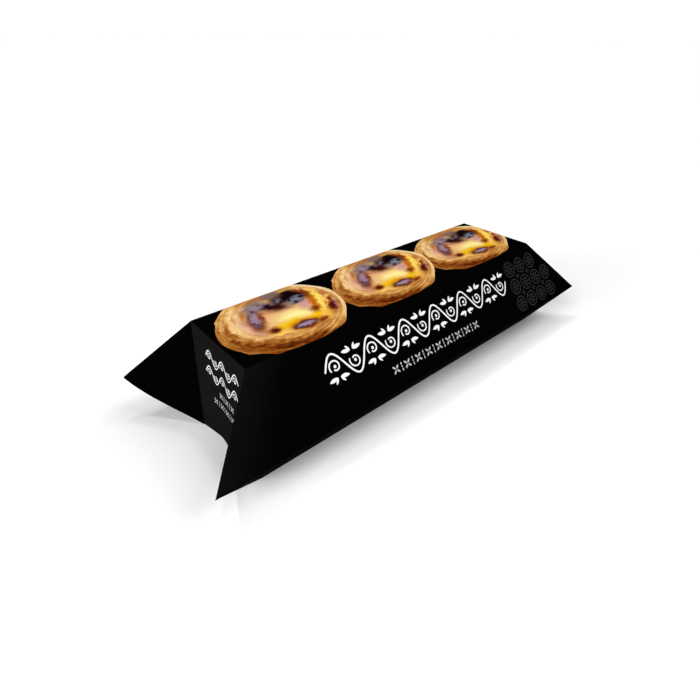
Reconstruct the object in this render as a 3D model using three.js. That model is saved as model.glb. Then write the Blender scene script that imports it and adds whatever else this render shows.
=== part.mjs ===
import * as THREE from "three";
import { mergeVertices } from "three/addons/utils/BufferGeometryUtils.js";

// A long, low carton of folded board that holds a row of small custard tarts and is shut at both ends.
// Its section has six sides: a narrow flat top, two upper side panels that slope out and down to a
// sharp side crease, two lower side panels that slope back in, and a flat base. Each side crease is
// longer than the top and the base, so its ends stick out as four pointed wings. An end is shut by a
// panel that hangs from the short edge of the top. The gussets beside that panel fold it to the wings,
// and lower gussets shut the wings from below.
//
// Millimetres, +Z up, X along the carton, origin on the ground under its middle.

// Driving dimensions.
const TOP_LENGTH = 248.6;
const TOP_WIDTH = 60;
const WING_LENGTH = 324;
const WING_WIDTH = 118;
const BASE_LENGTH = 260.6;
const BASE_WIDTH = 81.6;
const UPPER_RISE = 38.2;
const LOWER_RISE = 27;
const FOOT_WIDTH = 36;
const FOOT_OVERHANG = 4;
const FOOT_MIDDLE_OVERHANG = 1.1;
const FOOT_BEND_RADIUS = 20;
const FREE_EDGE_BOW = 2.05;
const FREE_EDGE_BOW_AT = 0.68;
const FREE_EDGE_POWER = 2.35;

// Straight pieces that stand for each half of a curved edge.
const FOOT_STEPS = 14;
const FREE_EDGE_STEPS = 10;

const BOARD_BLACK = 0x0c0c0d;
const BOARD_ROUGHNESS = 0.45;

// Corners of the quarter of the carton where X and Y are above zero.
const HEIGHT = LOWER_RISE + UPPER_RISE;
const TOP_CORNER = new THREE.Vector3(TOP_LENGTH / 2, TOP_WIDTH / 2, HEIGHT);
const WING_TIP = new THREE.Vector3(WING_LENGTH / 2, WING_WIDTH / 2, LOWER_RISE);
const BASE_CORNER = new THREE.Vector3(BASE_LENGTH / 2, BASE_WIDTH / 2, 0);
const FOOT_CORNER = new THREE.Vector3(BASE_LENGTH / 2 + FOOT_OVERHANG, FOOT_WIDTH / 2, 0);

// The point of the same height and side on the cross plane at the middle of the carton's length.
function atMiddleLength(point) {
  return new THREE.Vector3(0, point.y, point.z);
}

// Evenly spaced points on a straight edge, ends included.
function straightEdge(start, end, steps) {
  const points = [];
  for (let i = 0; i <= steps; i += 1) {
    points.push(new THREE.Vector3().lerpVectors(start, end, i / steps));
  }
  return points;
}

// The foot of the end panel, from the carton's long mid-plane to the foot corner. The panel is bent
// inwards down its middle, so its foot is one half of a shallow V with a rounded point: a hyperbola
// with FOOT_BEND_RADIUS at the mid-plane that ends in the foot corner.
function footEdge(steps) {
  const rise = FOOT_OVERHANG - FOOT_MIDDLE_OVERHANG;
  const slopeSquared = rise ** 2 / (FOOT_CORNER.y ** 2 - 2 * rise * FOOT_BEND_RADIUS);
  const rounding = FOOT_BEND_RADIUS * slopeSquared;
  const points = [];
  for (let i = 0; i <= steps; i += 1) {
    const y = (FOOT_CORNER.y * i) / steps;
    const reach = Math.sqrt(rounding ** 2 + slopeSquared * y ** 2) - rounding;
    points.push(new THREE.Vector3(BASE_CORNER.x + FOOT_MIDDLE_OVERHANG + reach, y, 0));
  }
  return points;
}

// How far the free edge bows at a share of its way: nothing at both ends, FREE_EDGE_BOW at the share
// FREE_EDGE_BOW_AT, leaving the foot corner gently and the wing tip steeply.
function freeEdgeBow(share) {
  const rise = (share / FREE_EDGE_BOW_AT) ** (FREE_EDGE_POWER * FREE_EDGE_BOW_AT);
  const fall = ((1 - share) / (1 - FREE_EDGE_BOW_AT)) ** (FREE_EDGE_POWER * (1 - FREE_EDGE_BOW_AT));
  return FREE_EDGE_BOW * rise * fall;
}

// The free edge of a gusset, from the foot corner to the wing tip. It bows away from the top corner,
// in the gusset's own plane.
function freeEdge(steps) {
  const along = new THREE.Vector3().subVectors(WING_TIP, FOOT_CORNER).normalize();
  const away = new THREE.Vector3().subVectors(FOOT_CORNER, TOP_CORNER);
  away.addScaledVector(along, -away.dot(along)).normalize();
  return straightEdge(FOOT_CORNER, WING_TIP, steps).map((point, i) => {
    return point.addScaledVector(away, freeEdgeBow(i / steps));
  });
}

// Triangles from one corner to each step of an edge.
function fan(corner, edge) {
  const triangles = [];
  for (let i = 0; i + 1 < edge.length; i += 1) {
    triangles.push([corner, edge[i], edge[i + 1]]);
  }
  return triangles;
}

// Triangles between two edges of as many points.
function strip(upper, lower) {
  const triangles = [];
  for (let i = 0; i + 1 < upper.length; i += 1) {
    triangles.push([upper[i], lower[i], lower[i + 1]]);
    triangles.push([upper[i], lower[i + 1], upper[i + 1]]);
  }
  return triangles;
}

// Every face of one quarter, seen from outside with its corners counter-clockwise.
function quarterFaces() {
  const shortEdge = straightEdge(new THREE.Vector3(TOP_CORNER.x, 0, HEIGHT), TOP_CORNER, FOOT_STEPS);
  const foot = footEdge(FOOT_STEPS);
  const free = freeEdge(FREE_EDGE_STEPS);
  const topMiddle = atMiddleLength(TOP_CORNER);
  const creaseMiddle = atMiddleLength(WING_TIP);
  const baseMiddle = atMiddleLength(BASE_CORNER);
  const top = fan(new THREE.Vector3(0, 0, HEIGHT), [...shortEdge, topMiddle]);
  const upperSide = fan(topMiddle, [TOP_CORNER, WING_TIP, creaseMiddle]);
  const lowerSide = fan(creaseMiddle, [WING_TIP, BASE_CORNER, baseMiddle]);
  const base = fan(new THREE.Vector3(0, 0, 0), [baseMiddle, BASE_CORNER, foot[0]]);
  const endPanel = strip(shortEdge, foot);
  const gusset = fan(TOP_CORNER, free);
  const lowerGusset = fan(BASE_CORNER, [...free].reverse());
  const footLedge = fan(BASE_CORNER, [...foot].reverse());
  return [top, upperSide, lowerSide, base, endPanel, gusset, lowerGusset, footLedge].flat();
}

// The same triangles mirrored to another quarter. One mirroring alone turns a face inside out,
// so its corners then run the other way round.
function mirrored(triangles, signX, signY) {
  const mirror = new THREE.Vector3(signX, signY, 1);
  return triangles.map((triangle) => {
    const corners = triangle.map((point) => point.clone().multiply(mirror));
    return signX * signY > 0 ? corners : corners.reverse();
  });
}

function cartonGeometry() {
  const quarter = quarterFaces();
  const positions = [];
  for (const signX of [1, -1]) {
    for (const signY of [1, -1]) {
      for (const point of mirrored(quarter, signX, signY).flat()) {
        positions.push(point.x, point.y, point.z);
      }
    }
  }
  const geometry = new THREE.BufferGeometry();
  geometry.setAttribute("position", new THREE.Float32BufferAttribute(positions, 3));
  const merged = mergeVertices(geometry, 1e-3);
  merged.computeVertexNormals();
  return merged;
}

function carton() {
  const board = new THREE.MeshStandardMaterial({
    color: BOARD_BLACK,
    roughness: BOARD_ROUGHNESS,
    metalness: 0,
  });
  const mesh = new THREE.Mesh(cartonGeometry(), board);
  mesh.name = "carton";
  return mesh;
}

const part = new THREE.Group();
part.add(carton());

export default part;
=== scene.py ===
import math

import bmesh
import bpy
import numpy as np
from mathutils import Matrix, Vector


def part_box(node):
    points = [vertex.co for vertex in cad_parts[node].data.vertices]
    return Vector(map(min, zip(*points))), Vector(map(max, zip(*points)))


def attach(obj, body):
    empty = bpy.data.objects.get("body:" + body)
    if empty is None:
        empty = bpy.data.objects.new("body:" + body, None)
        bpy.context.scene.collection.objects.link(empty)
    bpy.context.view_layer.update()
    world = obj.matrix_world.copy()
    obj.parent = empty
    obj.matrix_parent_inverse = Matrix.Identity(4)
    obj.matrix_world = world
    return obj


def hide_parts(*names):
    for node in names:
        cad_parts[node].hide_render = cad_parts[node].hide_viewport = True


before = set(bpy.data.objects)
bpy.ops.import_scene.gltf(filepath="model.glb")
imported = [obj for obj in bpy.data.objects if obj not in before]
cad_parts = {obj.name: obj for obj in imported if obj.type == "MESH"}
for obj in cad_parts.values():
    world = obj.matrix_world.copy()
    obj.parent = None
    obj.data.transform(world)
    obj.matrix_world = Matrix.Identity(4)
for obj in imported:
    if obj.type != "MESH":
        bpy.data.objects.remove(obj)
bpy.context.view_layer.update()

# --------------------------------------------------------------------
# Studio. A broad sheet of white paper in a white room. Soft windows stand to the left, one of them low,
# and to the front right, two small lamps hang overhead, and a third, low one fills the shade before the
# left front wing. The camera is close to that wing and looks along the carton through a wide lens.

CAMERA_PLACE = (-0.20189, -0.19578, 0.19828)
CAMERA_HEADING = math.radians(48.910)
CAMERA_DIP = math.radians(34.658)
CAMERA_ROLL = math.radians(0.23)
CAMERA_LENS_MM = 23.51
CAMERA_SENSOR_MM = 36.0
CAMERA_SEES = (0.01, 200.0)

SHEET_HALF_SIZE = 30.0
SHEET_WHITE = (0.86, 0.86, 0.855, 1.0)
SHEET_ROUGHNESS = 0.9
SHEET_GLOSS = 0.05
SHEET_TOOTH = {"Scale": 900.0, "Detail": 2.0}
SHEET_DENTS = {"Strength": 0.05, "Distance": 0.0001}
# The room's white, as the camera sees it and as it lights the carton.
SKY_WHITE = (1.0, 1.0, 1.0, 1.0)
SKY_SEEN = 1.25
SKY_LIGHT = 0.02
# Name, bearing from +X and height in degrees, strength, and width in degrees.
LAMPS = (
    ("front_window", 330, 45, 1.91, 40),
    ("left_window", 190, 35, 1.81, 25),
    ("low_left_window", 170, 14, 1.57, 20),
    ("right_lamp", 31, 69, 0.43, 6),
    ("rear_lamp", 117, 67, 0.62, 3),
)
FILL_PLACE = (-0.20, -0.28, 0.20)
FILL_AIM = (-0.14, -0.08, 0.0)
FILL_SIZE = 0.10
FILL_STRENGTH = 0.335


def link_object(item):
    """Puts an object into the scene."""
    bpy.context.scene.collection.objects.link(item)
    return item


def put(tree, kind, options=None, **sockets):
    """A shader node of one kind. Options set its own fields. Each socket is given by its name, with an
    underscore for a space, and is a plain value or another node's output, which is then linked."""
    node = tree.nodes.new(kind)
    for field, value in (options or {}).items():
        setattr(node, field, value)
    for name, value in sockets.items():
        fill_socket(tree, node.inputs[name.replace("_", " ")], value)
    return node


def fill_socket(tree, socket, value):
    """Links an output to a socket, or sets the socket to a plain value."""
    if isinstance(value, bpy.types.NodeSocket):
        tree.links.new(value, socket)
    else:
        socket.default_value = value


def lamp_object(name, kind, strength, travel):
    """A lamp whose light travels along one direction."""
    lamp = bpy.data.lights.new(name, kind)
    lamp.energy = strength
    item = link_object(bpy.data.objects.new(name, lamp))
    back = -np.array(travel) / np.linalg.norm(travel)
    across = np.cross((0.0, 1.0, 0.0), back)
    across /= np.linalg.norm(across)
    item.matrix_world = Matrix(np.stack([across, np.cross(back, across), back], axis=1).tolist()).to_4x4()
    return item


def aimed_camera(place, heading, dip, roll, lens, sensor):
    """A camera turned from +X by its heading, down by its dip and then about its own line of sight."""
    forward = math.cos(dip)
    ahead = np.array([forward * math.cos(heading), forward * math.sin(heading), -math.sin(dip)])
    level = np.array([math.sin(heading), -math.cos(heading), 0.0])
    up = np.cross(level, ahead)
    across = math.cos(roll) * level + math.sin(roll) * up
    upright = math.cos(roll) * up - math.sin(roll) * level
    camera = bpy.data.cameras.new("camera")
    camera.lens = lens
    camera.sensor_width = sensor
    camera.clip_start, camera.clip_end = CAMERA_SEES
    item = link_object(bpy.data.objects.new("camera", camera))
    turned = Matrix(np.stack([across, upright, -ahead], axis=1).tolist()).to_4x4()
    item.matrix_world = Matrix.Translation(place) @ turned
    return item


bpy.context.scene.camera = aimed_camera(
    CAMERA_PLACE, CAMERA_HEADING, CAMERA_DIP, CAMERA_ROLL, CAMERA_LENS_MM, CAMERA_SENSOR_MM
)
bpy.context.scene.view_settings.view_transform = "Standard"
for name, bearing, rise, strength, width in LAMPS:
    bearing, rise = math.radians(bearing), math.radians(rise)
    level = math.cos(rise)
    travel = (-level * math.cos(bearing), -level * math.sin(bearing), -math.sin(rise))
    lamp_object(name, "SUN", strength, travel).data.angle = math.radians(width)
fill = lamp_object("fill", "AREA", FILL_STRENGTH, np.subtract(FILL_AIM, FILL_PLACE))
fill.data.size = FILL_SIZE
fill.location = FILL_PLACE

sky = bpy.data.worlds.new("sky")
bpy.context.scene.world = sky
sky.use_nodes = True
sky.node_tree.nodes.clear()
seen = put(sky.node_tree, "ShaderNodeBackground", Strength=SKY_SEEN)
given = put(sky.node_tree, "ShaderNodeBackground", Strength=SKY_LIGHT)
for background in (seen, given):
    background.inputs["Color"].default_value = SKY_WHITE
ray = put(sky.node_tree, "ShaderNodeLightPath")
either = put(sky.node_tree, "ShaderNodeMixShader", Fac=ray.outputs["Is Camera Ray"])
sky.node_tree.links.new(given.outputs[0], either.inputs[1])
sky.node_tree.links.new(seen.outputs[0], either.inputs[2])
put(sky.node_tree, "ShaderNodeOutputWorld", Surface=either.outputs[0])


def new_material(name):
    """An empty material and its node tree."""
    material = bpy.data.materials.new(name)
    material.use_nodes = True
    material.node_tree.nodes.clear()
    return material, material.node_tree


def surfaced(tree, **sockets):
    """A material's surface, with its sockets given by name, and its output."""
    surface = put(tree, "ShaderNodeBsdfPrincipled", **sockets)
    put(tree, "ShaderNodeOutputMaterial", Surface=surface.outputs[0])


def own_place(tree):
    """The place on the object itself, in metres."""
    return put(tree, "ShaderNodeTexCoord").outputs["Object"]


def noise(tree, place, settings):
    """Noise at a place, with its scale and detail among its settings."""
    return put(tree, "ShaderNodeTexNoise", Vector=place, **settings).outputs[0]


def new_piece(name, points, faces, material):
    """A mesh object at the origin from an array of points and a list of faces, all in the shared frame."""
    mesh = bpy.data.meshes.new(name)
    corners = [[int(corner) for corner in face] for face in faces]
    mesh.from_pydata(np.asarray(points, dtype=float).tolist(), [], corners)
    mesh.validate()
    mesh.materials.append(material)
    return link_object(bpy.data.objects.new(name, mesh))


paper, tree = new_material("white_sheet")
tooth = noise(tree, own_place(tree), SHEET_TOOTH)
dents = put(tree, "ShaderNodeBump", Height=tooth, **SHEET_DENTS)
surfaced(
    tree, Base_Color=SHEET_WHITE, Roughness=SHEET_ROUGHNESS, Specular_IOR_Level=SHEET_GLOSS,
    Normal=dents.outputs[0],
)
sheet_corners = SHEET_HALF_SIZE * np.array([[-1, -1, 0], [1, -1, 0], [1, 1, 0], [-1, 1, 0]])
new_piece("white_sheet", sheet_corners, [(0, 1, 2, 3)], paper)

# --------------------------------------------------------------------
# Board. One blank of thin black varnished board is creased and folded into a long carton. The top,
# side and base panels run round it, a panel hangs down over each end, and gussets fold that panel to
# four pointed wings. The base is glued along a lap near its front crease.

MM = 0.001
lowest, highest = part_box("carton")

TOP_CORNER = np.array([124.3 * MM, 30.0 * MM, highest.z])
WING_TIP = np.array([highest.x, highest.y, 27.0 * MM])
BASE_CORNER = np.array([130.3 * MM, 40.8 * MM, 0.0])
FOOT_CORNER = np.array([134.3 * MM, 18.0 * MM, 0.0])
FOOT_MIDDLE = 131.4 * MM
FOOT_BEND_RADIUS = 20.0 * MM
FREE_EDGE_BOW = 2.05 * MM
FREE_EDGE_BOW_AT = 0.68
FREE_EDGE_POWER = 2.35
BOARD_THICKNESS = 0.45 * MM
FOLD_WIDTH = 0.5 * MM
FOLD_STEPS = 3
PANEL_BOW = 0.35 * MM
LAP_FROM_MIDDLE = 36.5 * MM

# Colours of the board: black ink, a paler tone painted on the end panels as the light that falls on them,
# and a painted sheen that fades into the black from the slanted edge at the left of each upper side panel.
BOARD_BLACK = (0.0008, 0.0008, 0.00082, 1.0)
END_PANEL_PAINTED_LIGHT = (0.0060, 0.0060, 0.0062, 1.0)
SIDE_PAINTED_SHEEN = (0.0030, 0.0030, 0.0031, 1.0)
SHEEN_WIDTH = 32.0 * MM
BOARD_ROUGHNESS = 0.45
BOARD_GLOSS = 0.0001
# How wide the black and the painted light run into each other at the top's short edge, the side folds, the
# foot and the side crease. The painted sheen is full on a side panel's skin, and gone a little way behind
# it.
EDGE_BLEND = 0.1 * MM
FOLD_BLEND = 0.5 * MM
FOOT_BLEND = 0.4 * MM
CREASE_BLEND = 0.5 * MM
BEHIND_SKIN = (0.6 * MM, 0.1 * MM)
# Slow clouds in the painted light and in the varnish, and the board's fibres, which run along it and show
# as faint relief.
CLOUDS = {"Scale": 60.0, "Detail": 4.0, "Roughness": 0.6}
CLOUD_SPAN = (0.25, 0.75)
PAINTED_LIGHT_SWING = 0.15
ROUGHNESS_SWING = 0.04
FIBRES = {"Scale": 1500.0, "Detail": 3.0}
FIBRE_DRAW = (0.3, 1.0, 1.0)
FIBRE_RELIEF = {"Strength": 0.15, "Distance": 0.02 * MM}

# Steps of the mesh along the long panels, across the end panels, down the slants and along free edges.
LONG_COLUMNS = 32
END_COLUMNS = 28
SLANT_ROWS = 10
FREE_EDGE_STEPS = 16
# Points this near each other are sewn together, edges this short go, and ones this near a crease are
# rounded.
SEWN_WITHIN = 0.001 * MM
EMPTY_BELOW = 0.0001 * MM
ON_CREASE = 0.01 * MM


def mixed(start, end, share):
    """Points on the straight line from start to end, at each share of the way."""
    return start + np.asarray(share)[..., None] * (end - start)


def foot_reach(across):
    """How far the foot of the end panel reaches from the middle, at a share of its half width from -1 to
    1. It is a shallow V with a rounded point: x = middle + sqrt(b^2 + s^2 y^2) - b, where s^2 comes from
    the rise to the foot corner and b is the bend radius at the point times s^2."""
    rise = FOOT_CORNER[0] - FOOT_MIDDLE
    slope_squared = rise**2 / (FOOT_CORNER[1] ** 2 - 2 * rise * FOOT_BEND_RADIUS)
    rounding = FOOT_BEND_RADIUS * slope_squared
    aside = FOOT_CORNER[1] * np.asarray(across)
    return FOOT_MIDDLE + np.sqrt(rounding**2 + slope_squared * aside**2) - rounding, aside


def end_panel_point(across, down):
    """A point of the right end panel: the straight line from the top's short edge to the foot at the same
    share across, from -1 to 1, and that share of the way down."""
    across, down = np.broadcast_arrays(across, down)
    reach, aside = foot_reach(across)
    whole = np.ones(across.shape)
    upper = TOP_CORNER * np.stack([whole, across, whole], axis=-1)
    lower = np.stack([reach, aside, np.zeros(across.shape)], axis=-1)
    return upper + down[..., None] * (lower - upper)


def free_edge():
    """The free edge of a gusset from the foot corner to the wing tip: a straight line bowed away from the
    top corner in the gusset's plane. At a share s, with m the share where it bows most and p its power,
    the bow is (s / m)^(p m) ((1 - s) / (1 - m))^(p (1 - m)) of its most. Also the gusset's outward normal
    and the shares."""
    share = np.linspace(0, 1, FREE_EDGE_STEPS + 1)
    along = (WING_TIP - FOOT_CORNER) / np.linalg.norm(WING_TIP - FOOT_CORNER)
    away = FOOT_CORNER - TOP_CORNER
    away -= along * away.dot(along)
    away /= np.linalg.norm(away)
    rise = (share / FREE_EDGE_BOW_AT) ** (FREE_EDGE_POWER * FREE_EDGE_BOW_AT)
    fall = ((1 - share) / (1 - FREE_EDGE_BOW_AT)) ** (FREE_EDGE_POWER * (1 - FREE_EDGE_BOW_AT))
    bow = FREE_EDGE_BOW * rise * fall
    outward = np.cross(along, away)
    outward *= np.sign(outward[0])
    return mixed(FOOT_CORNER, WING_TIP, share) + bow[:, None] * away, outward, share


def bowed_panel(upper, lower, rows):
    """A long panel between two creases of the quarter's corners, as rows of points along X. At a share r
    of the way down and c from -1 to 1 along, it swells outwards by 4 r (1 - r) (1 - c^2) of its bow."""
    columns = np.linspace(-1, 1, LONG_COLUMNS + 1)
    across = mixed(upper, lower, rows)
    grid = np.repeat(across[:, None, :], len(columns), axis=1)
    grid[..., 0] *= columns
    slope = lower - upper
    outward = np.array([0.0, -slope[2], slope[1]]) / math.hypot(slope[1], slope[2])
    swell = PANEL_BOW * (4 * rows * (1 - rows))[:, None] * (1 - columns**2)
    return grid + swell[..., None] * outward


def grid_faces(rows, columns):
    """Quads of a grid of points held row after row."""
    corner = (np.arange(rows - 1)[:, None] * columns + np.arange(columns - 1)).ravel()
    return np.stack([corner, corner + 1, corner + columns + 1, corner + columns], axis=1)


def mirrored(patches, sign_x, sign_y):
    """The same patches on the other side of one or both mid-planes."""
    return [(points * (sign_x, sign_y, 1), faces) for points, faces in patches]


def one_face(*edges):
    """A flat face with its corners on several edges, laid end to end. Where two edges meet, the shared
    corner is given by the first of them only."""
    points = np.concatenate([edge[:-1] for edge in edges])
    return points, [np.arange(len(points))]


def gridded(points):
    """A grid of points as a patch: its points in one row, and its quads."""
    rows, columns, size = points.shape
    return points.reshape(-1, size), grid_faces(rows, columns)


def base_panel():
    """The flat base with both foot ledges: rows along X from outline to outline, and near the front the
    step of the glued lap, where the inner ply shows one board's thickness higher."""
    reach, aside = foot_reach(np.linspace(-1, 1, END_COLUMNS + 1))
    outline = np.stack([reach, aside], axis=1)
    ledge = ledge_edge()[:, :2]
    outline = np.concatenate([(ledge * (1, -1)), outline[1:-1], ledge[::-1]])
    columns = np.linspace(-1, 1, LONG_COLUMNS + 1)
    grid = np.zeros((len(outline), len(columns), 3))
    grid[..., 0] = outline[:, :1] * columns
    grid[..., 1] = outline[:, 1:]
    lap_row = int(np.argmin(abs(outline[:, 1] + LAP_FROM_MIDDLE)))
    raised = grid[lap_row].copy()
    raised[1:-1, 2] = BOARD_THICKNESS
    return np.insert(grid, lap_row, raised, axis=0)


def ledge_edge():
    """The straight edge between a foot ledge and a lower gusset, from the base corner to the foot corner,
    with points where the lap ends and half way."""
    lap_share = (BASE_CORNER[1] - LAP_FROM_MIDDLE) / (BASE_CORNER[1] - FOOT_CORNER[1])
    return mixed(BASE_CORNER, FOOT_CORNER, np.array([0, lap_share, 0.5, 1]))


def end_patches():
    """The gusset, its cut edge and the lower gusset of the quarter where X and Y are above zero."""
    down = np.linspace(0, 1, SLANT_ROWS + 1)
    slant = mixed(TOP_CORNER, WING_TIP, down)
    lower_slant = mixed(WING_TIP, BASE_CORNER, down)
    side_fold = mixed(TOP_CORNER, FOOT_CORNER, down)
    outer, outward, share = free_edge()
    taper = np.clip(np.minimum(share, 1 - share) * FREE_EDGE_STEPS, 0, 1)
    inner = outer - BOARD_THICKNESS * taper[:, None] * outward
    gusset = one_face(side_fold, outer, slant[::-1])
    cut_edge = gridded(np.stack([outer, inner]))
    lower_gusset = one_face(ledge_edge(), inner, lower_slant)
    return [gusset, cut_edge, lower_gusset]


def carton_patches():
    """Every panel of the closed carton, each as its points and faces."""
    slant_share = np.linspace(0, 1, SLANT_ROWS + 1)
    top_share = np.linspace(0, 1, END_COLUMNS + 1)
    top = gridded(bowed_panel(TOP_CORNER * (1, -1, 1), TOP_CORNER, top_share))
    upper_side = gridded(bowed_panel(TOP_CORNER, WING_TIP, slant_share))
    lower_side = gridded(bowed_panel(WING_TIP, BASE_CORNER, slant_share))
    end_panel = gridded(end_panel_point(np.linspace(-1, 1, END_COLUMNS + 1), slant_share[:, None]))
    patches = [top, gridded(base_panel())]
    for sign_y in (1, -1):
        patches += mirrored([upper_side, lower_side], 1, sign_y)
    for sign_x in (1, -1):
        patches += mirrored([end_panel], sign_x, 1)
        for sign_y in (1, -1):
            patches += mirrored(end_patches(), sign_x, sign_y)
    return patches


def joined(patches):
    """Several patches as one array of points and one list of faces."""
    starts = np.cumsum([0] + [len(points) for points, _ in patches])
    faces = [face + start for start, (_, patch) in zip(starts, patches) for face in patch]
    return np.concatenate([points for points, _ in patches]), faces


def sewn_shut(mesh):
    """Merges the points that patches share, which closes the shell, and turns every face outwards."""
    shell = bmesh.new()
    shell.from_mesh(mesh)
    bmesh.ops.remove_doubles(shell, verts=shell.verts, dist=SEWN_WITHIN)
    bmesh.ops.dissolve_degenerate(shell, edges=shell.edges, dist=EMPTY_BELOW)
    bmesh.ops.recalc_face_normals(shell, faces=shell.faces)
    shell.to_mesh(mesh)
    shell.free()


def fold_lines():
    """The creases of the quarter where X and Y are above zero, each as a run of points."""
    middle = np.array([0, 1, 1])
    foot = end_panel_point(np.linspace(0, 1, END_COLUMNS // 2 + 1), np.float64(1))
    straight = [
        (TOP_CORNER * middle, TOP_CORNER), (TOP_CORNER * (1, 0, 1), TOP_CORNER), (TOP_CORNER, WING_TIP),
        (TOP_CORNER, FOOT_CORNER), (WING_TIP * middle, WING_TIP), (WING_TIP, BASE_CORNER),
        (BASE_CORNER * middle, BASE_CORNER), (BASE_CORNER, FOOT_CORNER),
    ]
    return [np.array(line) for line in straight] + [foot]


def distance_to_line(points, start, end):
    """How far each point is from the straight piece between two points."""
    along = end - start
    share = np.clip((points - start) @ along / along.dot(along), 0, 1)
    return np.linalg.norm(points - start - share[:, None] * along, axis=1)


def crease_weights(mesh):
    """Marks the edges that lie on a crease, so that only they are rounded."""
    points = np.empty(len(mesh.vertices) * 3)
    mesh.vertices.foreach_get("co", points)
    ends = np.empty(len(mesh.edges) * 2, dtype=int)
    mesh.edges.foreach_get("vertices", ends)
    points = abs(points.reshape(-1, 3))
    ends = points[ends.reshape(-1, 2)]
    weight = np.zeros(len(ends))
    for line in fold_lines():
        for start, end in zip(line[:-1], line[1:]):
            off = [distance_to_line(at, start, end) for at in (ends[:, 0], ends[:, 1], ends.mean(axis=1))]
            weight[np.max(off, axis=0) < ON_CREASE] = 1
    mark = mesh.attributes.new("bevel_weight_edge", "FLOAT", "EDGE")
    mark.data.foreach_set("value", weight)


def calc(tree, operation, *terms):
    """A number worked out from one to three terms."""
    node = put(tree, "ShaderNodeMath", {"operation": operation})
    for socket, term in zip(node.inputs, terms):
        fill_socket(tree, socket, term)
    return node.outputs[0]


def product(tree, first, *others):
    """Several numbers multiplied."""
    for other in others:
        first = calc(tree, "MULTIPLY", first, other)
    return first


def arrow(tree, operation, *terms):
    """A vector, or for a length the number, worked out from one or two vectors."""
    node = put(tree, "ShaderNodeVectorMath", {"operation": operation})
    for socket, term in zip(node.inputs, terms):
        fill_socket(tree, socket, term)
    return node.outputs["Value" if operation in ("LENGTH", "DISTANCE", "DOT_PRODUCT") else "Vector"]


def laid_over(tree, share, under, over):
    """One colour over another, by a share."""
    node = put(tree, "ShaderNodeMix", {"data_type": "RGBA"})
    fill_socket(tree, node.inputs[0], share)
    fill_socket(tree, node.inputs[6], under)
    fill_socket(tree, node.inputs[7], over)
    return node.outputs[2]


def stepped(tree, value, start, end, low=0.0, high=1.0):
    """A smooth step of a value: low at start, high at end."""
    node = put(tree, "ShaderNodeMapRange", {"interpolation_type": "SMOOTHSTEP"}, Value=value)
    for label, term in (("From Min", start), ("From Max", end), ("To Min", low), ("To Max", high)):
        fill_socket(tree, node.inputs[label], term)
    return node.outputs[0]


def swinging(tree, cloud, span, middle, swing):
    """A number that noise swings to both sides of its middle."""
    return stepped(tree, cloud, *span, middle - swing, middle + swing)


board_black, tree = new_material("black_board")
place = own_place(tree)
out, aside, up = put(tree, "ShaderNodeSeparateXYZ", Vector=arrow(tree, "ABSOLUTE", place)).outputs
# The end panels, where a paler tone is painted as the light that falls on them: past the top's short edge,
# between their two side folds and above the base.
half_by_rise = (TOP_CORNER[1] - FOOT_CORNER[1]) / TOP_CORNER[2]
end_half = calc(tree, "MULTIPLY_ADD", up, half_by_rise, FOOT_CORNER[1])
past_edge = stepped(tree, out, TOP_CORNER[0] - EDGE_BLEND, TOP_CORNER[0] + EDGE_BLEND)
between_folds = stepped(tree, calc(tree, "SUBTRACT", end_half, aside), 0.0, FOLD_BLEND)
end_panel = product(tree, past_edge, between_folds, stepped(tree, up, 0.0, FOOT_BLEND))
# A painted sheen on the upper side panels, each near the slanted edge at its left as one stands before it.
below_top = calc(tree, "SUBTRACT", TOP_CORNER[2], up)
slope = (WING_TIP - TOP_CORNER) / (TOP_CORNER[2] - WING_TIP[2])
behind = calc(tree, "SUBTRACT", calc(tree, "MULTIPLY_ADD", below_top, slope[1], TOP_CORNER[1]), aside)
inward = calc(tree, "SUBTRACT", calc(tree, "MULTIPLY_ADD", below_top, slope[0], TOP_CORNER[0]), out)
on_skin = stepped(tree, behind, *BEHIND_SKIN)
above_crease = stepped(tree, up, WING_TIP[2], WING_TIP[2] + CREASE_BLEND)
signed = put(tree, "ShaderNodeSeparateXYZ", Vector=place).outputs
at_its_left = calc(tree, "GREATER_THAN", product(tree, signed[0], signed[1]), 0.0)
sheen_falloff = stepped(tree, inward, SHEEN_WIDTH, 0.0)
painted_side_sheen = product(tree, on_skin, above_crease, at_its_left, sheen_falloff)
cloud = noise(tree, place, CLOUDS)
uneven = swinging(tree, cloud, CLOUD_SPAN, 1, PAINTED_LIGHT_SWING)
# Painted sheen near the side panels' slanted edges, laid over the black.
black = laid_over(tree, product(tree, painted_side_sheen, uneven), BOARD_BLACK, SIDE_PAINTED_SHEEN)
# Painted light on the end panels, laid over the black.
black = laid_over(tree, product(tree, end_panel, uneven), black, END_PANEL_PAINTED_LIGHT)
rough = swinging(tree, cloud, CLOUD_SPAN, BOARD_ROUGHNESS, ROUGHNESS_SWING)
fibres = noise(tree, arrow(tree, "MULTIPLY", place, FIBRE_DRAW), FIBRES)
relief = put(tree, "ShaderNodeBump", Height=fibres, **FIBRE_RELIEF)
surfaced(
    tree, Base_Color=black, Roughness=rough, Specular_IOR_Level=BOARD_GLOSS, Normal=relief.outputs[0]
)

carton_board = new_piece("carton_board", *joined(carton_patches()), board_black)
sewn_shut(carton_board.data)
crease_weights(carton_board.data)
fold = carton_board.modifiers.new("folds", "BEVEL")
fold.limit_method = "WEIGHT"
fold.width = FOLD_WIDTH
fold.segments = FOLD_STEPS
fold.use_clamp_overlap = False
fold.harden_normals = True
carton_board.data.shade_smooth()
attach(carton_board, "root")
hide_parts("carton")

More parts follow.
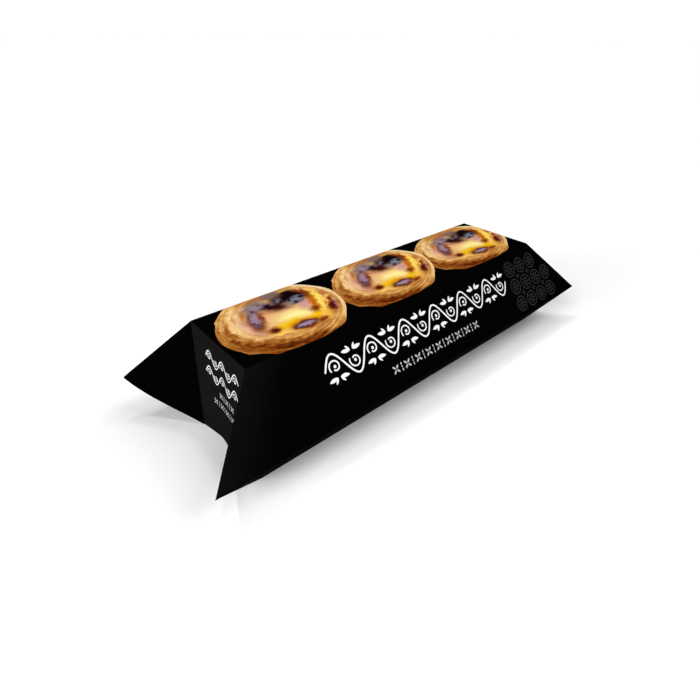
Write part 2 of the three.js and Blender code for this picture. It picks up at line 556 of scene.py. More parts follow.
# --------------------------------------------------------------------
# Tart pictures. Three baked custard tarts are printed in a row on the top in satin ink: a flaky crust
# in browns, and a yellow custard with scorched spots. The front edge of each runs a little way over the
# top's front crease, the rear ones end at the rear crease and the right one at the short edge.

INK_GLOSS = 0.006
INK_ROUGHNESS = 0.5
# Shades of print are given as they look under the lamps, which brighten the top this many times over.
LIT = 1.30
# A picture's map runs over this many half widths from side to side.
PICTURE_MARGIN = 2.4

CRUST_SHADES = (
    (0.00, (58, 18, 4)),
    (0.18, (110, 46, 8)),
    (0.34, (150, 86, 28)),
    (0.50, (188, 126, 60)),
    (0.66, (220, 166, 92)),
    (0.82, (240, 200, 136)),
    (1.00, (252, 230, 186)),
)
GOLD = (249, 200, 110)
YOLK = (254, 206, 84)
PALE_YOLK = (255, 232, 112)
MUSTARD = (238, 182, 66)
CRUST_BROWN = (182, 112, 54)
PEACH = (234, 180, 124)
DEEP_PEACH = (196, 134, 94)
PALE_YELLOW = (252, 228, 142)
LEMON = (255, 246, 168)
EGG_YELLOW = (246, 192, 20)
PINK = (207, 153, 146)
ROSE = (214, 150, 122)
AMBER = (192, 100, 2)
RUST = (134, 48, 10)
CHAR = (20, 4, 8)
CHAR_RED = (62, 20, 20)
SCORCH_RED = (78, 10, 18)
ASH_BLUE = (120, 124, 138)
ASH_PURPLE = (160, 133, 150)
ASH_BROWN = (126, 102, 96)
CREAM = (238, 192, 146)
PALE_CRUST = (252, 218, 160)

# Soft fields in the order they lie over each other, in units of a tart's half width and half height:
# a tone between the crust's darkest and palest shade, or a colour, then the middle, radii, turn in
# degrees and softness of the outline.
CRUST_TONE = 0.52
TONE_FIELDS = (
    (0.39, (-0.86, 0.05), (0.13, 0.60), 0, 0.6),
    (0.36, (-0.66, -0.56), (0.16, 0.34), 45, 0.6),
    (0.66, (-0.62, 0.74), (0.24, 0.22), 0, 0.7),
    (0.34, (-0.02, -0.80), (0.52, 0.10), 0, 0.8),
    (0.12, (-0.32, -0.80), (0.30, 0.09), -20, 0.7),
    (0.54, (0.10, -0.74), (0.40, 0.05), 0, 0.9),
    (0.16, (-0.05, -0.92), (0.70, 0.08), 0, 0.7),
    (0.24, (0.44, -0.83), (0.26, 0.06), 26, 0.8),
    (0.64, (0.58, -0.64), (0.30, 0.12), 45, 0.7),
    (0.62, (0.86, 0.16), (0.13, 0.60), 0, 0.6),
    (0.86, (-0.68, 0.14), (0.05, 0.28), 3, 0.8),
    (0.80, (-0.61, -0.25), (0.045, 0.16), 22, 0.8),
    (0.80, (-0.46, -0.47), (0.05, 0.20), 48, 0.8),
    (0.66, (-0.18, -0.63), (0.24, 0.05), -16, 0.8),
    (0.60, (0.16, -0.70), (0.22, 0.05), 2, 0.8),
    (0.80, (-0.58, 0.56), (0.06, 0.24), -24, 0.8),
    (0.36, (-0.39, -0.60), (0.15, 0.07), -38, 0.8),
    (0.62, (-0.80, 0.38), (0.07, 0.15), -20, 0.8),
    (0.84, (0.68, 0.54), (0.10, 0.30), 35, 0.7),
    (0.44, (0.38, -0.67), (0.13, 0.05), 18, 0.9),
    (0.12, (-0.83, -0.24), (0.022, 0.12), 12, 0.9),
    (0.16, (-0.73, -0.45), (0.020, 0.14), 32, 0.9),
    (0.10, (-0.58, -0.62), (0.022, 0.12), 50, 0.9),
)
CUSTARD_FIELDS = (
    (CRUST_BROWN, (-0.10, 0.74), (0.46, 0.13), 0, 0.5),
    (PALE_CRUST, (-0.53, 0.52), (0.13, 0.18), -35, 0.6),
    (ASH_BROWN, (0.14, 0.70), (0.16, 0.14), -20, 0.6),
    (PEACH, (-0.06, 0.06), (0.52, 0.36), 0, 0.5),
    (DEEP_PEACH, (-0.46, -0.30), (0.16, 0.14), 40, 0.8),
    (PALE_YELLOW, (0.14, -0.13), (0.25, 0.16), -8, 0.9),
    (LEMON, (0.18, -0.20), (0.19, 0.09), -10, 0.9),
    (EGG_YELLOW, (-0.04, -0.33), (0.26, 0.11), 12, 0.7),
    (EGG_YELLOW, (0.40, -0.40), (0.22, 0.10), 40, 0.7),
    (DEEP_PEACH, (-0.06, 0.18), (0.26, 0.07), -18, 0.9),
    (PINK, (0.44, 0.05), (0.12, 0.16), 0, 0.7),
    (CHAR_RED, (0.36, 0.19), (0.11, 0.045), 16, 0.8),
    (YOLK, (0.66, 0.06), (0.09, 0.52), -14, 0.6),
    (PALE_YOLK, (0.66, 0.04), (0.03, 0.30), -12, 0.9),
    (AMBER, (0.61, 0.28), (0.06, 0.28), -12, 0.7),
    (AMBER, (0.57, -0.04), (0.045, 0.22), -14, 0.9),
    (AMBER, (0.665, -0.21), (0.014, 0.12), -22, 0.9),
    (RUST, (0.49, -0.21), (0.08, 0.08), 20, 0.8),
    (CREAM, (-0.56, 0.02), (0.10, 0.38), 8, 0.7),
    (ROSE, (-0.51, 0.02), (0.05, 0.28), 6, 0.9),
    (RUST, (-0.37, 0.10), (0.12, 0.34), -12, 0.5),
    (CHAR_RED, (-0.37, 0.11), (0.08, 0.27), -12, 0.6),
    (ASH_PURPLE, (-0.34, 0.13), (0.045, 0.11), -12, 0.9),
    (ASH_BROWN, (-0.24, 0.48), (0.22, 0.17), 20, 0.5),
    (CRUST_BROWN, (-0.47, 0.38), (0.04, 0.14), -12, 0.9),
    (CHAR_RED, (-0.30, 0.39), (0.05, 0.05), 30, 0.9),
    (CHAR_RED, (0.00, 0.31), (0.25, 0.12), -42, 0.5),
    (CHAR, (-0.02, 0.36), (0.17, 0.07), -42, 0.6),
    (CHAR_RED, (0.16, 0.44), (0.16, 0.20), -20, 0.6),
    (CHAR, (0.41, 0.42), (0.24, 0.24), -14, 0.4),
    (CHAR, (0.37, 0.58), (0.12, 0.10), 0, 0.5),
    (RUST, (0.62, 0.48), (0.04, 0.16), -10, 0.8),
    (RUST, (0.55, 0.56), (0.05, 0.08), 20, 0.8),
    (RUST, (-0.25, 0.12), (0.035, 0.12), -12, 0.9),
    (ASH_BROWN, (0.10, 0.66), (0.10, 0.06), 0, 0.8),
    (RUST, (-0.28, -0.34), (0.10, 0.09), -10, 0.5),
    (CHAR_RED, (-0.26, -0.35), (0.05, 0.06), -10, 0.9),
    (AMBER, (0.15, -0.49), (0.25, 0.15), -10, 0.5),
    (CHAR_RED, (0.15, -0.50), (0.205, 0.105), -10, 0.3),
    (ASH_PURPLE, (0.15, -0.50), (0.10, 0.04), -10, 0.7),
    (RUST, (0.41, -0.57), (0.08, 0.07), 30, 0.6),
)
# How much the scorched skin glints.
GLINT_FIELDS = (
    (0.12, (-0.55, 0.03), (0.07, 0.26), 8, 0.8),
    (1.00, (-0.36, 0.14), (0.07, 0.20), -12, 0.6),
    (0.85, (-0.22, 0.50), (0.18, 0.12), 25, 0.6),
    (0.75, (0.14, 0.45), (0.05, 0.09), -30, 0.7),
    (0.70, (0.06, 0.42), (0.05, 0.07), -30, 0.8),
    (1.00, (0.38, 0.28), (0.16, 0.11), 18, 0.5),
    (0.40, (0.21, 0.24), (0.06, 0.04), -30, 0.7),
    (1.00, (0.15, -0.50), (0.13, 0.055), -10, 0.6),
)
# Flecks over crust and custard alike, along the edge between them.
EDGE_FIELDS = (
    (MUSTARD, (0.57, -0.44), (0.05, 0.18), -28, 0.8),
    (GOLD, (0.61, -0.33), (0.012, 0.14), -28, 0.9),
    (CRUST_BROWN, (0.68, -0.29), (0.016, 0.12), -26, 0.9),
    (CRUST_BROWN, (0.80, 0.18), (0.05, 0.22), 2, 0.8),
    (GOLD, (0.83, 0.07), (0.045, 0.035), 0, 0.9),
    (GOLD, (0.75, 0.40), (0.05, 0.11), 20, 0.9),
    (RUST, (0.43, -0.56), (0.085, 0.05), 30, 0.6),
    (RUST, (0.22, -0.61), (0.11, 0.03), 6, 0.9),
    (RUST, (0.80, -0.07), (0.065, 0.065), 0, 0.5),
    (RUST, (0.76, -0.15), (0.08, 0.025), 40, 0.9),
    (PINK, (0.85, -0.22), (0.02, 0.14), -20, 0.9),
    (RUST, (0.75, -0.29), (0.06, 0.13), -40, 0.7),
    (SCORCH_RED, (0.76, -0.31), (0.05, 0.13), -40, 0.6),
)
CUSTARD_MIDDLE = (0.08, 0.10, 0.0)
CUSTARD_RADII = (0.735, 0.72, 1.0)
CUSTARD_ENDS = (1.03, 0.95)
# The thin rim that stands free on the right: how far out it starts and is whole, the tone that it adds
# to the dark gap inside it and to itself, which way the right is, and where that side starts.
RIM_FROM_MIDDLE = (0.90, 0.965)
RIM_TONE = (-0.14, 0.24)
RIM_WAY = (0.98, 0.20, 0.0)
RIM_SIDE = (0.35, 0.70)
# Noise that makes the fields ragged, and how far it shifts them. The custard's are shifted less.
DRIFT = {"Scale": 3.2, "Detail": 2.0}
DRIFT_REACH = (0.16, 0.16, 0.0)
SHAKE = {"Scale": 10.0, "Detail": 3.0}
SHAKE_REACH = (0.14, 0.14, 0.0)
CALMER = (0.7, 0.7, 0.0)
# Flakes of crust, long round the tart and thin across its wall, and a fine grain over them. The wall is
# never counted as nought thick.
FLAKES = {"Scale": 1.9, "Detail": 4.0, "Roughness": 0.66}
FLAKES_AROUND = (1.5, 1.5, 0.0)
FLAKES_ACROSS = 6.5
LEAST_WALL = 0.001
FLAKE_TONE = 0.95
GRAIN = {"Scale": 10.0, "Detail": 5.0, "Roughness": 0.65}
GRAIN_TONE = 0.50
# Blisters break up the glints, whose tint turns from purple to blue towards the upper right.
BLISTERS = {"Scale": 8.0, "Detail": 2.0, "Roughness": 0.5, "Distortion": 0.2}
BLISTER_SPAN = (0.37, 0.56)
UPPER_RIGHT = (1.0, 1.0, 0.0)
TINT_SPAN = (0.25, 0.50)


def ink(shade):
    """An ink's colour, with full cover, from the screen values of 0 to 255 that it shows when lit."""
    share = np.array(shade) / 255
    linear = np.where(share <= 0.04045, share / 12.92, ((share + 0.055) / 1.055) ** 2.4)
    return (*(linear / LIT), 1.0)


def shader_group(name, wanted, given):
    """An empty shader node group with its sockets, each a label and a kind, and its two ends."""
    group = bpy.data.node_groups.new(name, "ShaderNodeTree")
    for label, kind in wanted:
        group.interface.new_socket(label, in_out="INPUT", socket_type=kind)
    for label, kind in given:
        group.interface.new_socket(label, in_out="OUTPUT", socket_type=kind)
    return group, group.nodes.new("NodeGroupInput").outputs, group.nodes.new("NodeGroupOutput").inputs


def ramp(tree, value, stops):
    """A colour ramp through (place, screen colour) stops."""
    node = put(tree, "ShaderNodeValToRGB", Fac=value)
    bands = node.color_ramp.elements
    while len(bands) < len(stops):
        bands.new(0.5)
    for band, (place, shade) in zip(bands, stops):
        band.position = place
        band.color = ink(shade)
    return node.outputs[0]


soft_patch, wanted, given = shader_group(
    "soft_patch",
    [("Place", "NodeSocketVector"), ("Middle", "NodeSocketVector"), ("Radii", "NodeSocketVector"),
     ("Turn", "NodeSocketFloat"), ("Softness", "NodeSocketFloat")],
    [("Mask", "NodeSocketFloat")],
)
tree = soft_patch
off = arrow(tree, "SUBTRACT", wanted["Place"], wanted["Middle"])
back = calc(tree, "MULTIPLY", wanted["Turn"], -1.0)
turned = put(tree, "ShaderNodeVectorRotate", {"rotation_type": "Z_AXIS"}, Vector=off, Angle=back)
reach = arrow(tree, "LENGTH", arrow(tree, "DIVIDE", turned.outputs[0], wanted["Radii"]))
outer = calc(tree, "ADD", 1.0, wanted["Softness"])
inner = calc(tree, "SUBTRACT", 1.0, wanted["Softness"])
fill_socket(tree, given["Mask"], stepped(tree, reach, outer, inner))


def patch_mask(tree, place, middle, radii, turn, softness):
    """How much of a soft elliptical field is at a place."""
    return put(
        tree, "ShaderNodeGroup", {"node_tree": soft_patch}, Place=place, Middle=(*middle, 0.0),
        Radii=(*radii, 1.0), Turn=math.radians(turn), Softness=softness,
    ).outputs["Mask"]


def fields(tree, place, colour, rows):
    """Soft fields of colour laid one after another over what is there."""
    for shade, *spot in rows:
        colour = laid_over(tree, patch_mask(tree, place, *spot), colour, ink(shade))
    return colour


def toned(tree, place, tone, rows):
    """The same for a plain value: each row gives the value that its field is drawn to."""
    for level, *spot in rows:
        mask = patch_mask(tree, place, *spot)
        tone = put(tree, "ShaderNodeMix", Factor=mask, A=tone, B=level).outputs[0]
    return tone


def shifted_by(tree, place, settings, reach):
    """How far noise shifts a place, to either side."""
    cloud = put(tree, "ShaderNodeTexNoise", Vector=place, **settings).outputs["Color"]
    return arrow(tree, "MULTIPLY", arrow(tree, "SUBTRACT", cloud, (0.5, 0.5, 0.5)), reach)


def speckled(tree, tone, place, settings, strength):
    """A tone raised and lowered by noise."""
    cloud = calc(tree, "SUBTRACT", noise(tree, place, settings), 0.5)
    return calc(tree, "MULTIPLY_ADD", cloud, strength, tone)


def from_custard(tree, place):
    """How far a place is from the custard's middle, as a share of its radii."""
    off = arrow(tree, "SUBTRACT", place, CUSTARD_MIDDLE)
    return arrow(tree, "LENGTH", arrow(tree, "DIVIDE", off, CUSTARD_RADII))


tart_print, tree = new_material("tart_picture")
drawn = put(tree, "ShaderNodeUVMap", {"uv_map": "picture"}).outputs[0]
centred = arrow(tree, "SUBTRACT", drawn, (0.5, 0.5, 0.0))
place = arrow(tree, "MULTIPLY", centred, (PICTURE_MARGIN, PICTURE_MARGIN, 0.0))
drift = shifted_by(tree, place, DRIFT, DRIFT_REACH)
shift = arrow(tree, "ADD", drift, shifted_by(tree, place, SHAKE, SHAKE_REACH))
ragged = arrow(tree, "ADD", place, shift)
wavering = arrow(tree, "ADD", place, arrow(tree, "MULTIPLY", shift, CALMER))
# The crust. Its flakes follow the bearing and the share of the way from the custard to the outline.
from_middle = arrow(tree, "LENGTH", place)
past_custard = calc(tree, "MAXIMUM", calc(tree, "SUBTRACT", from_custard(tree, place), 1.0), 0.0)
to_outline = calc(tree, "MAXIMUM", calc(tree, "SUBTRACT", 1.0, from_middle), 0.0)
wall = calc(tree, "ADD", calc(tree, "ADD", past_custard, to_outline), LEAST_WALL)
wall_share = calc(tree, "DIVIDE", past_custard, wall)
around = arrow(tree, "MULTIPLY", arrow(tree, "NORMALIZE", place), FLAKES_AROUND)
across = put(tree, "ShaderNodeCombineXYZ", Z=product(tree, wall_share, FLAKES_ACROSS)).outputs[0]
tone = toned(tree, ragged, CRUST_TONE, TONE_FIELDS)
tone = speckled(tree, tone, arrow(tree, "ADD", around, across), FLAKES, FLAKE_TONE)
tone = speckled(tree, tone, place, GRAIN, GRAIN_TONE)
rim = stepped(tree, from_middle, *RIM_FROM_MIDDLE, *RIM_TONE)
rim_side = stepped(tree, arrow(tree, "DOT_PRODUCT", place, RIM_WAY), *RIM_SIDE)
tone = calc(tree, "MULTIPLY_ADD", rim, rim_side, tone)
crust = ramp(tree, tone, CRUST_SHADES)
# The custard with its scorched spots and their glints.
custard = fields(tree, wavering, ink(GOLD), CUSTARD_FIELDS)
blistered = stepped(tree, noise(tree, place, BLISTERS), *BLISTER_SPAN)
glint = product(tree, toned(tree, wavering, 0.0, GLINT_FIELDS), blistered)
bluer = stepped(tree, arrow(tree, "DOT_PRODUCT", place, UPPER_RIGHT), *TINT_SPAN)
glint_tint = laid_over(tree, bluer, ink(ASH_PURPLE), ink(ASH_BLUE))
custard = laid_over(tree, glint, custard, glint_tint)
inside = stepped(tree, from_custard(tree, ragged), *CUSTARD_ENDS)
colour = fields(tree, ragged, laid_over(tree, inside, crust, custard), EDGE_FIELDS)
surfaced(tree, Base_Color=colour, Roughness=INK_ROUGHNESS, Specular_IOR_Level=INK_GLOSS)

# A tart picture is an ellipse that leans: its middle along the carton shifts with the distance round it.
# Each has its name, its middle along and round the carton, half its length and width, lean and lift.
PICTURES = (
    ("tart_print_left", -82.0 * MM, 1.9 * MM, 41.2 * MM, 34.6 * MM, 0.080, 0.05 * MM),
    ("tart_print_middle", -0.1 * MM, 1.7 * MM, 43.7 * MM, 33.5 * MM, 0.315, 0.04 * MM),
    ("tart_print_right", 81.7 * MM, 0.4 * MM, 48.0 * MM, 31.6 * MM, 0.285, 0.03 * MM),
)
PICTURE_ROWS = 44
PICTURE_COLUMNS = 36
# The rows' share of the outline's height. In fold widths: how far other rows keep from the front fold,
# and how far before the rear crease the last one lies.
ROWS_WITHIN = 0.9995
ROWS_CLEAR = 1.2
LAST_ROW_BEFORE = 0.5
# Bumps and dents of a crust's outline: bearing and width in degrees, and height as a share of the radius.
OUTLINE_SWELLS = (
    (34, 14, -0.022), (150, 3, 0.03), (158, 27, -0.05), (220, 5, 0.03), (241, 5, 0.045),
    (268, 16, -0.045), (305, 11, 0.058), (355, 12, -0.02),
)
OUTLINE_STEPS = 1440


def skin_point(along, girth, lift):
    """A point just outside the top or an upper side panel. `along` is its X. `girth` is its distance from
    the top's long middle line, measured round the carton and above zero towards the back. With w the fold
    width and t from 0 to a right angle across the fold, its rounding is C + w (1 - sin t) e1 +
    w (1 - cos t) e2, and the panels swell by the same parabola as the board."""
    along, girth = np.broadcast_arrays(along, girth)
    half, height = TOP_CORNER[1], TOP_CORNER[2]
    slope = (WING_TIP - TOP_CORNER)[1:]
    slant = np.linalg.norm(slope)
    slope = slope / slant
    across = abs(girth)
    turn = np.clip((across - half + FOLD_WIDTH) / (2 * FOLD_WIDTH), 0, 1) * math.pi / 2
    level = np.minimum(across, half - FOLD_WIDTH) + FOLD_WIDTH * np.sin(turn)
    down = np.maximum(across - half - FOLD_WIDTH, 0) + FOLD_WIDTH * (1 - np.cos(turn))
    normal = np.stack([-slope[1] * np.sin(turn), np.cos(turn) + slope[0] * np.sin(turn)], axis=-1)
    normal /= np.linalg.norm(normal, axis=-1, keepdims=True)
    share = np.where(across < half, (across + half) / (2 * half), (across - half) / slant)
    reach = np.where(across < half, TOP_CORNER[0], TOP_CORNER[0] + share * (WING_TIP[0] - TOP_CORNER[0]))
    swell = PANEL_BOW * 4 * share * (1 - share) * (1 - np.minimum(abs(along / reach), 1) ** 2)
    outside = (swell + lift)[..., None] * normal
    aside = (level + down * slope[0] + outside[..., 0]) * np.where(girth < 0, -1, 1)
    return np.stack([along, aside, height + down * slope[1] + outside[..., 1]], axis=-1)


def pointing(turn):
    """The direction of a bearing in the plane, or one for each of several bearings."""
    return np.stack([np.cos(turn), np.sin(turn)], axis=-1)


def crust_outline():
    """The outline of a tart picture in its own units, all round. Its radius is 1 plus, for every swell,
    its height times exp(-(d / w)^2) at d degrees from its bearing, with w its width."""
    bearing = np.linspace(-180, 180, OUTLINE_STEPS + 1)
    radius = np.ones(bearing.shape)
    for middle, width, height in OUTLINE_SWELLS:
        off = (bearing - middle + 180) % 360 - 180
        radius += height * np.exp(-((off / width) ** 2))
    return radius[:, None] * pointing(np.radians(bearing))


def picture_rows(girth_middle, half_girth, lowest_share, highest_share):
    """The rows of a picture as distances round the carton, up to the rear crease. They lie at the sines
    of even steps from -90 to 90 degrees, and the front fold's rounding is stepped through as well."""
    middle = (lowest_share + highest_share) / 2
    half = (highest_share - lowest_share) / 2 * ROWS_WITHIN
    height = np.sin(np.linspace(-1, 1, PICTURE_ROWS) * math.pi / 2)
    rows = girth_middle + half_girth * (middle + half * height)
    fold = -TOP_CORNER[1] + FOLD_WIDTH * np.linspace(-1, 1, 2 * FOLD_STEPS + 1)
    rear = TOP_CORNER[1] - FOLD_WIDTH * LAST_ROW_BEFORE
    clear_of_fold = abs(rows + TOP_CORNER[1]) > FOLD_WIDTH * ROWS_CLEAR
    rows = np.concatenate([rows[clear_of_fold], fold, [rear]])
    rows = rows[(rows <= rear) & (rows >= girth_middle + half_girth * (middle - half))]
    return np.unique(rows)


def tart_picture(name, along_middle, girth_middle, half_length, half_girth, lean, lift):
    """One picture as a thin skin on the board. Each row runs between the outline's two sides at its
    height, and the place in the picture is kept as the map "picture"."""
    outline = crust_outline()
    lowest, highest = outline[:, 1].min(), outline[:, 1].max()
    rows = picture_rows(girth_middle, half_girth, lowest, highest)
    up = (rows - girth_middle) / half_girth
    top, bottom = outline[outline[:, 1].argmax(), 0], outline[outline[:, 1].argmin(), 0]
    dividing = bottom + (outline[:, 1] - lowest) / (highest - lowest) * (top - bottom)
    sides = []
    for side in (outline[outline[:, 0] < dividing], outline[outline[:, 0] > dividing]):
        side = side[side[:, 1].argsort()]
        sides.append(np.interp(up, side[:, 1], side[:, 0]))
    middle = along_middle + lean * (rows - girth_middle)
    ends = [np.minimum(middle + half_length * side, TOP_CORNER[0]) for side in sides]
    columns = np.linspace(0, 1, PICTURE_COLUMNS)
    along = ends[0][:, None] + columns * (ends[1] - ends[0])[:, None]
    points = skin_point(along, rows[:, None], lift)
    piece = new_piece(name, *gridded(points), tart_print)
    across = (along - middle[:, None]) / half_length
    drawn_at = np.stack([across, np.broadcast_to(up[:, None], along.shape)], axis=-1)
    drawn_at = 0.5 + drawn_at.reshape(-1, 2) / PICTURE_MARGIN
    corners = np.empty(len(piece.data.loops), dtype=int)
    piece.data.loops.foreach_get("vertex_index", corners)
    piece.data.uv_layers.new(name="picture").data.foreach_set("uv", drawn_at[corners].ravel())
    piece.data.shade_smooth()
    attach(piece, "root")


for row in PICTURES:
    tart_picture(*row)

# --------------------------------------------------------------------
# Printed ornament. The front and back panels carry a white vine band, a row of small grey blossoms
# under it and, at its right end, a field of rosettes in dark grey that barely shows on the black. Each
# end panel carries two short vine bands and two rows of blossoms. All are thin fields of satin ink.

# A vine band: the length of a bend, half its height, its bends and its stroke. In each bend a thinner
# stem curls in to a round eye: it starts at a bearing in half turns and sweeps whole turns. From a root
# outside it pairs of leaves rise at an angle, each with its size.
VINE_BEND = 13.9 * MM
VINE_SWING = 8.0 * MM
VINE_BENDS = 12
VINE_STROKE = 1.1 * MM
VINE_MIDDLE = (-1.5 * MM, -49.3 * MM)
CURL_RADIUS = 3.9 * MM
CURL_POWER = 0.8
CURL_START = 1.15
CURL_TURNS = 1.2
CURL_STROKE = 0.8
EYE_RADIUS = 1.15 * MM
EYE_RISE = 0.8 * MM
# In eye radii: the dot in the eye, how near to it the curl would come, and where the curl is cut off.
EYE_DOT = 0.8
CURL_NEARS = 0.9
CURL_CUT = 1.7
LEAF_ROOT = 4.9 * MM
LEAF_START = (0.9 * MM, 0.5 * MM)
LEAF_LENGTH = 6.2 * MM
LEAF_WIDTH = 2.2 * MM
VINE_LEAVES = ((0.15, 1.0), (0.95, 0.66))

# Blossoms in a row. Petals and leaflets have a start, a length and a width.
BLOSSOM_GAP = 9.6 * MM
BLOSSOM_PETAL = (0.35 * MM, 3.0 * MM, 1.25 * MM)
BLOSSOM_DOT = 0.5 * MM
BLOSSOM_LEAFLET = (0.9 * MM, 2.0 * MM, 0.9 * MM)
BLOSSOM_MIDDLE = (-2.0 * MM, -66.4 * MM)
BLOSSOMS = 9

# Rosettes in a square grid, and the four petals of the lozenge between four of them.
ROSETTE_CELL = 13.4 * MM
ROSETTE_FIRST = (91.6 * MM, -42.6 * MM)
ROSETTE_ROWS = (3, 4, 4)
ROSETTE_RING = 5.5 * MM
ROSETTE_STROKE = 0.8 * MM
ROSETTE_DOT = 0.75 * MM
ROSETTE_PETAL = (1.1 * MM, 3.5 * MM, 1.15 * MM)
LOZENGE_PETAL = (0.2 * MM, 2.4 * MM, 1.0 * MM)

# The end panels' smaller bands: middles towards the front and down, and the blossoms' counts.
END_SCALE = 0.52
END_BENDS = 5
END_STROKE = 0.62 * MM
END_BANDS = ((5.0 * MM, 13.6 * MM), (4.6 * MM, 23.8 * MM))
END_BLOSSOM_SCALE = 0.72
END_BLOSSOM_ROWS = ((9.0 * MM, 33.6 * MM, 3), (6.0 * MM, 40.6 * MM, 4))

ORNAMENT_LIFT = 0.04 * MM
ROUND_END = np.radians([8, 30, 52, 74])
PETAL_SHARES = np.linspace(0.02, 0.98, 9)
PETAL_POWER = 0.8
DOT_POINTS = 14
RING_STEPS = 40
STEM_STEPS = 14
CURL_STEPS = 33

PLAIN_INKS = {"white_ink": (250, 250, 250), "grey_ink": (196, 196, 196), "dim_ink": (46, 46, 46)}
# The inks lie thinner in places: how much so, how dark they are there, and how the varnish follows.
THINNING = {"Scale": 350.0, "Detail": 3.0}
THINNING_SPAN = (0.30, 0.70)
THINNED_SHARE = 0.12
THINNED_SHADE = 0.8
INK_ROUGHNESS_SWING = 0.05


def ribbon(path, width):
    """A stroke of even width along a path in the plane, with half-round ends, as points and faces. At an
    angle q before its end, a round end is cos q half widths past the path and sin q half widths wide."""
    ahead = np.gradient(path, axis=0)
    ahead /= np.linalg.norm(ahead, axis=1, keepdims=True)
    aside = np.stack([-ahead[:, 1], ahead[:, 0]], axis=1)
    half = width / 2
    start = path[0] - half * np.cos(ROUND_END)[:, None] * ahead[0]
    finish = path[-1] + half * np.cos(ROUND_END[::-1])[:, None] * ahead[-1]
    line = np.concatenate([start, path, finish])
    ends = len(ROUND_END)
    across = np.concatenate([np.repeat(aside[:1], ends, 0), aside, np.repeat(aside[-1:], ends, 0)])
    reach = half * np.concatenate([np.sin(ROUND_END), np.ones(len(path)), np.sin(ROUND_END[::-1])])
    return gridded(np.stack([line + reach[:, None] * across, line - reach[:, None] * across], axis=1))


def petal(heart, turn, start, length, width):
    """A leaf with two pointed ends that starts a little way from a heart and runs along a bearing. At a
    share s of its length, its width is w sin(pi s)^p, with w its most and p the petals' power."""
    spine = heart + (start + length * PETAL_SHARES)[:, None] * pointing(turn)
    swell = width / 2 * np.sin(np.pi * PETAL_SHARES) ** PETAL_POWER
    aside = swell[:, None] * pointing(turn + math.pi / 2)
    return gridded(np.stack([spine + aside, spine - aside], axis=1))


def star(heart, count, turn, size):
    """Like petals all round a heart, the first at a bearing."""
    return [petal(heart, turn + step * 2 * math.pi / count, *size) for step in range(count)]


def dot(middle, radius):
    """A filled round dot."""
    bearing = np.linspace(0, 2 * np.pi, DOT_POINTS, endpoint=False)
    return middle + radius * pointing(bearing), [np.arange(DOT_POINTS)]


def ring(middle, radius, width):
    """A round line, closed by its first points laid once more at its end."""
    around = pointing(np.linspace(0, 2 * np.pi, RING_STEPS + 1))
    inner, outer = radius - width / 2, radius + width / 2
    return gridded(np.stack([middle + inner * around, middle + outer * around], axis=1))


def vine(bends, stroke, leaves):
    """A waving stem along X with a curl and a dot in every bend, and leaves outside it. At a share s of
    its sweep the curl's radius is R (1 - s)^p + n e s, with R its first radius, e the eye's and n how
    near it would come in eye radii."""
    length = bends * VINE_BEND
    along = np.linspace(0, length, bends * STEM_STEPS + 1)
    stem = np.stack([along - length / 2, VINE_SWING * np.sin(np.pi * along / VINE_BEND)], axis=1)
    shapes = [ribbon(stem, stroke)]
    sweep = np.linspace(0, 1, CURL_STEPS + 1)
    radius = CURL_RADIUS * (1 - sweep) ** CURL_POWER + CURL_NEARS * EYE_RADIUS * sweep
    drawn = radius > CURL_CUT * EYE_RADIUS
    for bend in range(bends):
        side = 1 if bend % 2 == 0 else -1
        crest = np.array([(bend + 0.5) * VINE_BEND - length / 2, 0.0])
        eye = crest + (0, side * EYE_RISE)
        curl = eye + radius[:, None] * pointing(side * math.pi * (CURL_START - 2 * CURL_TURNS * sweep))
        shapes.append(ribbon(curl[drawn], CURL_STROKE * stroke))
        shapes.append(dot(eye, EYE_DOT * EYE_RADIUS))
        root = crest - (0, side * LEAF_ROOT)
        for lean in (-1, 1):
            start = root + np.multiply(LEAF_START, (lean, -side))
            for rise, size in leaves:
                turn = side * (lean * (math.pi / 2 - rise) - math.pi / 2)
                shapes.append(petal(start, turn, 0, LEAF_LENGTH * size, LEAF_WIDTH * size))
    return shapes


def blossoms(count):
    """A row of four-petalled blossoms with a dot and two small leaves between neighbours."""
    shapes = []
    for place in np.arange(count) - (count - 1) / 2:
        heart = np.array([place * BLOSSOM_GAP, 0.0])
        shapes += star(heart, 4, math.pi / 4, BLOSSOM_PETAL)
        if place < (count - 1) / 2:
            between = heart + (BLOSSOM_GAP / 2, 0.0)
            shapes.append(dot(between, BLOSSOM_DOT))
            shapes += star(between, 2, math.pi / 2, BLOSSOM_LEAFLET)
    return shapes


def rosettes():
    """Rows of rosettes: a ring round eight petals and a dot, with a lozenge where four of them meet."""
    shapes = []
    for row, count in enumerate(ROSETTE_ROWS):
        for column in range(count):
            heart = np.array(ROSETTE_FIRST) + ROSETTE_CELL * np.array([column, -row])
            shapes.append(ring(heart, ROSETTE_RING, ROSETTE_STROKE))
            shapes.append(dot(heart, ROSETTE_DOT))
            shapes += star(heart, 8, 0, ROSETTE_PETAL)
            if row < len(ROSETTE_ROWS) - 1 and column < count - 1:
                meet = heart + ROSETTE_CELL / 2 * np.array([1, -1])
                shapes += star(meet, 4, 0, LOZENGE_PETAL)
    return shapes


def set_out(shapes, middle, scale=1.0):
    """Flat shapes at another size and place."""
    return [(np.array(middle) + scale * points, faces) for points, faces in shapes]


def on_long_panel(plane):
    """Points of the plane, X and distance round the carton, on the front panel's outside."""
    return skin_point(plane[:, 0], plane[:, 1], ORNAMENT_LIFT)


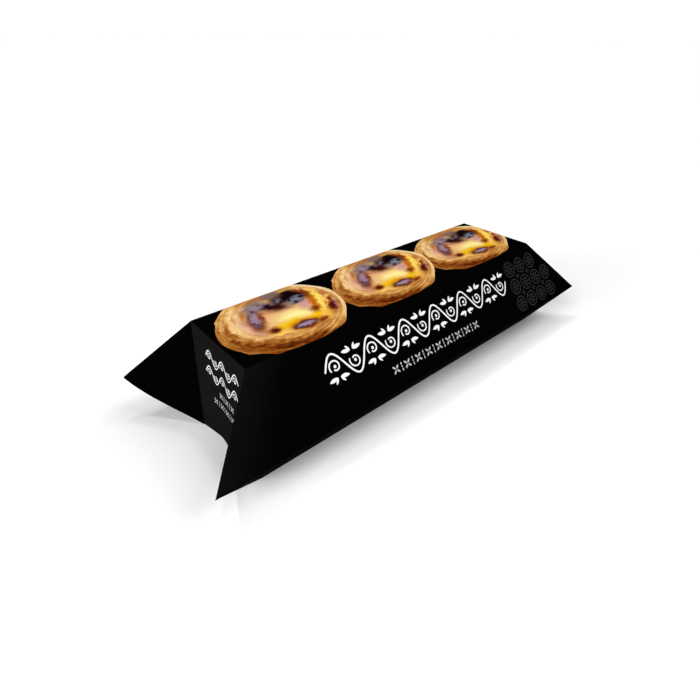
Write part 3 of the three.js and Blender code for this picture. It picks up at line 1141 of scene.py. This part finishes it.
def on_left_end(plane):
    """Points of the plane, measured towards the front and upwards from the top's short edge, on the left
    end panel's outside."""
    across_edge, drop = plane[:, 0], -plane[:, 1]
    down = drop / math.hypot(TOP_CORNER[2], FOOT_MIDDLE - TOP_CORNER[0])
    half = TOP_CORNER[1] + down * (FOOT_CORNER[1] - TOP_CORNER[1])
    points = end_panel_point(across_edge / half, down) * (-1, -1, 1)
    points[:, 0] -= ORNAMENT_LIFT
    return points


def printed_shapes(name, shapes, placed, material):
    """One piece of print: flat shapes set on a panel, and again on the opposite one, turned half round."""
    plane, faces = joined(shapes)
    points = placed(plane)
    opposite = points * (-1, -1, 1)
    faces = faces + [face + len(points) for face in faces]
    piece = new_piece(name, np.concatenate([points, opposite]), faces, material)
    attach(piece, "root")


def plain_ink(name, shade):
    """Satin ink of one colour that lies a little unevenly on the board."""
    material, tree = new_material(name)
    cloud = noise(tree, own_place(tree), THINNING)
    thin = stepped(tree, cloud, *THINNING_SPAN, 0.0, THINNED_SHARE)
    colour = laid_over(tree, thin, ink(shade), ink(np.array(shade) * THINNED_SHADE))
    rough = swinging(tree, cloud, THINNING_SPAN, INK_ROUGHNESS, INK_ROUGHNESS_SWING)
    surfaced(tree, Base_Color=colour, Roughness=rough, Specular_IOR_Level=INK_GLOSS)
    return material


white_ink, grey_ink, dim_ink = [plain_ink(name, shade) for name, shade in PLAIN_INKS.items()]

band = set_out(vine(VINE_BENDS, VINE_STROKE, VINE_LEAVES), VINE_MIDDLE)
printed_shapes("side_vines", band, on_long_panel, white_ink)
row = set_out(blossoms(BLOSSOMS), BLOSSOM_MIDDLE)
printed_shapes("side_blossoms", row, on_long_panel, grey_ink)
printed_shapes("side_rosettes", rosettes(), on_long_panel, dim_ink)

bands, rows = [], []
for along, down in END_BANDS:
    bands += set_out(vine(END_BENDS, END_STROKE / END_SCALE, ()), (along, -down), END_SCALE)
for along, down, count in END_BLOSSOM_ROWS:
    rows += set_out(blossoms(count), (along, -down), END_BLOSSOM_SCALE)
printed_shapes("end_vines", bands, on_left_end, white_ink)
printed_shapes("end_blossoms", rows, on_left_end, grey_ink)
